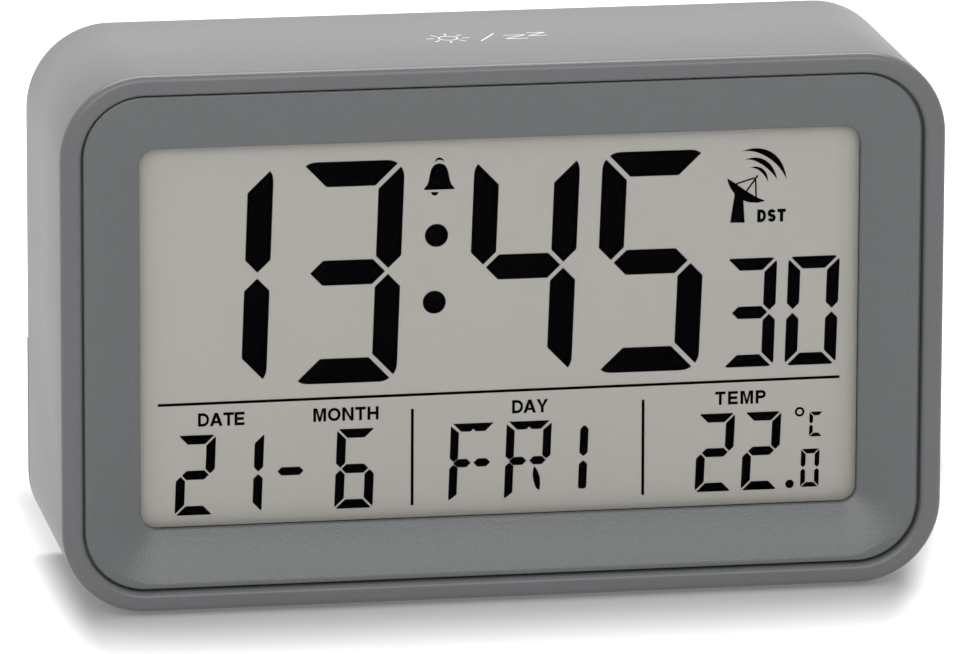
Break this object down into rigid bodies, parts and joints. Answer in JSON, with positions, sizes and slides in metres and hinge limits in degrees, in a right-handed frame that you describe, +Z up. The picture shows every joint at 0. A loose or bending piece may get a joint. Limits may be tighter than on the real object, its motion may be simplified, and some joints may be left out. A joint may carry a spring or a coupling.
{
  "type": "digital day clock",
  "caption": "Low wide desk clock with rounded corners, a rim round a large LCD for time, date, weekday and temperature, rear keys and a battery bay.",
  "frame": {"origin": "centre of the bounding box on the surface the feet stand on", "axes": "+X to the right as the display is read, +Y from the display to the back, +Z up"},
  "size_m": [0.15, 0.046, 0.0928],
  "materials": {
    "case_plastic": "satin grey moulded plastic",
    "key_plastic": "dark grey moulded plastic",
    "clear_plastic": "clear polished plastic window",
    "lcd_glass": "flat clear glass",
    "polariser_film": "grey film",
    "guide_plastic": "clear to milky plastic",
    "white_film": "white film",
    "holder_plastic": "white moulded plastic",
    "elastomer": "layered silicone rubber",
    "led_lens": "milky resin",
    "board_laminate": "green solder mask",
    "chip_resin": "black resin",
    "crystal_can": "plain metal",
    "ferrite": "dark sintered ferrite",
    "copper_winding": "enamelled wire",
    "buzzer_brass": "thin sheet",
    "clip_plastic": "natural nylon",
    "spring_steel": "nickel-plated sheet",
    "foil": "plain foil",
    "lead_insulation": "soft insulation",
    "ribbon_insulation": "soft insulation",
    "switch_plastic": "black moulded plastic",
    "cell_jacket": "printed film over a metal can",
    "foot_rubber": "soft rubber"
  },
  "bodies": {
    "case": {"housing": "case_plastic", "front_panel": "case_plastic", "rear_cover": "case_plastic", "display_lens": "clear_plastic", "lcd_front_polariser": "polariser_film", "lcd_front_glass": "lcd_glass", "lcd_rear_glass": "lcd_glass", "lcd_rear_polariser": "polariser_film", "light_guide": "guide_plastic", "reflector_sheet": "white_film", "lcd_holder": "holder_plastic", "zebra_strip": "elastomer", "backlight_leds": "led_lens", "main_board": "board_laminate", "controller_chip": "chip_resin", "quartz_crystal": "crystal_can", "radio_module": "board_laminate", "ferrite_bar": "ferrite", "antenna_coil": "copper_winding", "antenna_clips": "clip_plastic", "touch_electrode": "foil", "touch_contact": "spring_steel", "rear_cover_screws": "spring_steel", "buzzer": "buzzer_brass", "temperature_sensor": "chip_resin", "key_board": "board_laminate", "tact_switches": "switch_plastic", "alarm_switch_body": "switch_plastic", "light_switch_body": "switch_plastic", "battery_upper": "cell_jacket", "battery_lower": "cell_jacket", "battery_jumper_contact": "spring_steel", "battery_positive_contact": "spring_steel", "battery_negative_contact": "spring_steel", "battery_leads": "lead_insulation", "buzzer_leads": "lead_insulation", "sensor_lead": "ribbon_insulation", "board_ribbon": "ribbon_insulation", "feet": "foot_rubber"},
    "set_key": {"set_key": "key_plastic", "set_key_plunger": "switch_plastic"},
    "up_key": {"up_key": "key_plastic", "up_key_plunger": "switch_plastic"},
    "down_key": {"down_key": "key_plastic", "down_key_plunger": "switch_plastic"},
    "alarm_key": {"alarm_key": "key_plastic", "alarm_key_plunger": "switch_plastic"},
    "signal_key": {"signal_key": "key_plastic", "signal_key_plunger": "switch_plastic"},
    "alarm_switch": {"alarm_switch_knob": "key_plastic"},
    "light_switch": {"light_switch_knob": "key_plastic"},
    "battery_door": {"battery_door": "case_plastic", "battery_door_latch": "case_plastic"}
  },
  "joints": [
    {"name": "set_key_press", "type": "slide", "parent": "case", "child": "set_key", "axis": [0, -1, 0], "range_m": [0, 0.0006], "stiffness_N_per_m": 300, "springref_m": -0.001},
    {"name": "up_key_press", "type": "slide", "parent": "case", "child": "up_key", "axis": [0, -1, 0], "range_m": [0, 0.0006], "stiffness_N_per_m": 300, "springref_m": -0.001},
    {"name": "down_key_press", "type": "slide", "parent": "case", "child": "down_key", "axis": [0, -1, 0], "range_m": [0, 0.0006], "stiffness_N_per_m": 300, "springref_m": -0.001},
    {"name": "alarm_key_press", "type": "slide", "parent": "case", "child": "alarm_key", "axis": [0, -1, 0], "range_m": [0, 0.0006], "stiffness_N_per_m": 300, "springref_m": -0.001},
    {"name": "signal_key_press", "type": "slide", "parent": "case", "child": "signal_key", "axis": [0, -1, 0], "range_m": [0, 0.0006], "stiffness_N_per_m": 300, "springref_m": -0.001},
    {"name": "alarm_switch_slide", "type": "slide", "parent": "case", "child": "alarm_switch", "axis": [-1, 0, 0], "range_m": [0, 0.003]},
    {"name": "light_switch_slide", "type": "slide", "parent": "case", "child": "light_switch", "axis": [-1, 0, 0], "range_m": [0, 0.003]},
    {"name": "battery_door_hinge", "type": "hinge", "parent": "case", "child": "battery_door", "pos_m": [0, 0.02225, 0.00605], "axis": [-1, 0, 0], "range_deg": [0, 75], "deforming": ["battery_door_latch"]}
  ]
}
